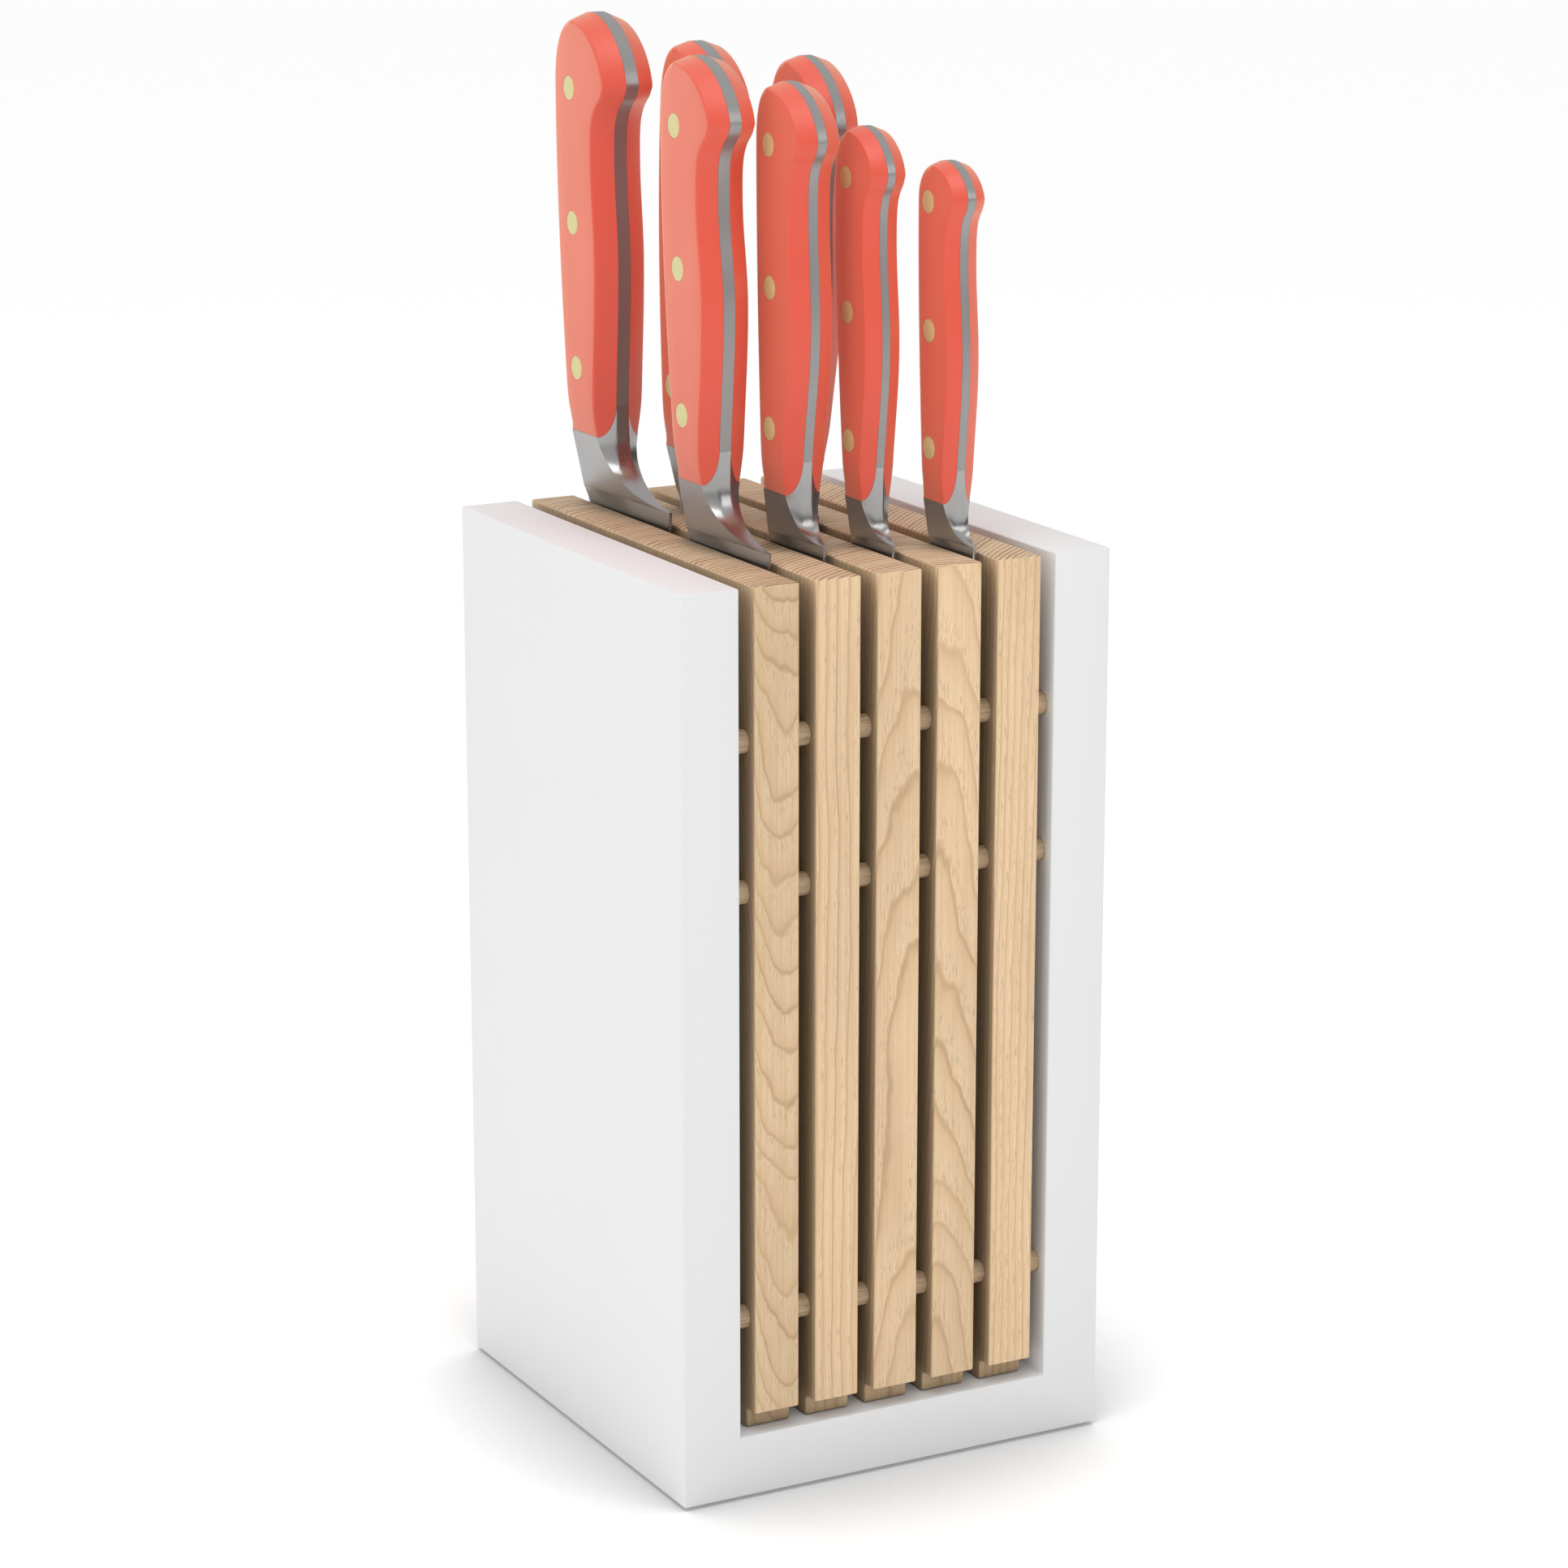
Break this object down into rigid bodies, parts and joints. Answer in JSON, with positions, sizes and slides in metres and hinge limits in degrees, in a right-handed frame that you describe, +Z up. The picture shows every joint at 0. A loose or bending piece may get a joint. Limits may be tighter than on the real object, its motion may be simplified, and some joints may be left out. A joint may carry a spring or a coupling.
{
  "type": "knife block with knives",
  "caption": "Upright kitchen knife block: white U-shaped housing holding wooden slats on cross rods, with full-tang coral-handled forged knives that lift out of the slots.",
  "frame": {"origin": "on the surface the block stands on, under the middle of the housing", "axes": "+Z up; -Y is the front, the side the knives' edges face; +X runs across the slats to the right as seen from the front"},
  "size_m": [0.129, 0.134, 0.3871],
  "materials": {
    "white_lacquer": "matte white lacquer on board",
    "ash_wood": "oiled open-pored ash",
    "dowel_wood": "sanded beech",
    "foot_rubber": "matte",
    "forged_steel": "satin sides, polished bolster",
    "coral_plastic": "satin",
    "rivet_brass": "brushed, flush"
  },
  "bodies": {
    "block": {"left_panel": "white_lacquer", "right_panel": "white_lacquer", "base_panel": "white_lacquer", "front_foot": "foot_rubber", "back_foot": "foot_rubber", "slat_1": "ash_wood", "slat_2": "ash_wood", "slat_3": "ash_wood", "slat_4": "ash_wood", "slat_5": "ash_wood", "front_top_rod": "dowel_wood", "front_middle_rod": "dowel_wood", "front_bottom_rod": "dowel_wood", "back_top_rod": "dowel_wood", "back_middle_rod": "dowel_wood", "back_bottom_rod": "dowel_wood"},
    "chefs_knife": {"chefs_knife_blade_and_tang": "forged_steel", "chefs_knife_left_scale": "coral_plastic", "chefs_knife_right_scale": "coral_plastic", "chefs_knife_rivet_1": "rivet_brass", "chefs_knife_rivet_2": "rivet_brass", "chefs_knife_rivet_3": "rivet_brass"},
    "small_chefs_knife": {"small_chefs_knife_blade_and_tang": "forged_steel", "small_chefs_knife_left_scale": "coral_plastic", "small_chefs_knife_right_scale": "coral_plastic", "small_chefs_knife_rivet_1": "rivet_brass", "small_chefs_knife_rivet_2": "rivet_brass", "small_chefs_knife_rivet_3": "rivet_brass"},
    "bread_knife": {"bread_knife_blade_and_tang": "forged_steel", "bread_knife_left_scale": "coral_plastic", "bread_knife_right_scale": "coral_plastic", "bread_knife_rivet_1": "rivet_brass", "bread_knife_rivet_2": "rivet_brass", "bread_knife_rivet_3": "rivet_brass"},
    "carving_knife": {"carving_knife_blade_and_tang": "forged_steel", "carving_knife_left_scale": "coral_plastic", "carving_knife_right_scale": "coral_plastic", "carving_knife_rivet_1": "rivet_brass", "carving_knife_rivet_2": "rivet_brass", "carving_knife_rivet_3": "rivet_brass"},
    "boning_knife": {"boning_knife_blade_and_tang": "forged_steel", "boning_knife_left_scale": "coral_plastic", "boning_knife_right_scale": "coral_plastic", "boning_knife_rivet_1": "rivet_brass", "boning_knife_rivet_2": "rivet_brass", "boning_knife_rivet_3": "rivet_brass"},
    "utility_knife": {"utility_knife_blade_and_tang": "forged_steel", "utility_knife_left_scale": "coral_plastic", "utility_knife_right_scale": "coral_plastic", "utility_knife_rivet_1": "rivet_brass", "utility_knife_rivet_2": "rivet_brass", "utility_knife_rivet_3": "rivet_brass"},
    "paring_knife": {"paring_knife_blade_and_tang": "forged_steel", "paring_knife_left_scale": "coral_plastic", "paring_knife_right_scale": "coral_plastic", "paring_knife_rivet_1": "rivet_brass", "paring_knife_rivet_2": "rivet_brass", "paring_knife_rivet_3": "rivet_brass"}
  },
  "joints": [
    {"name": "chefs_knife_lift", "type": "slide", "parent": "block", "child": "chefs_knife", "axis": [0, 0, 1], "range_m": [0, 0.21]},
    {"name": "small_chefs_knife_lift", "type": "slide", "parent": "block", "child": "small_chefs_knife", "axis": [0, 0, 1], "range_m": [0, 0.17]},
    {"name": "bread_knife_lift", "type": "slide", "parent": "block", "child": "bread_knife", "axis": [0, 0, 1], "range_m": [0, 0.21]},
    {"name": "carving_knife_lift", "type": "slide", "parent": "block", "child": "carving_knife", "axis": [0, 0, 1], "range_m": [0, 0.19]},
    {"name": "boning_knife_lift", "type": "slide", "parent": "block", "child": "boning_knife", "axis": [0, 0, 1], "range_m": [0, 0.16]},
    {"name": "utility_knife_lift", "type": "slide", "parent": "block", "child": "utility_knife", "axis": [0, 0, 1], "range_m": [0, 0.13]},
    {"name": "paring_knife_lift", "type": "slide", "parent": "block", "child": "paring_knife", "axis": [0, 0, 1], "range_m": [0, 0.1]}
  ]
}
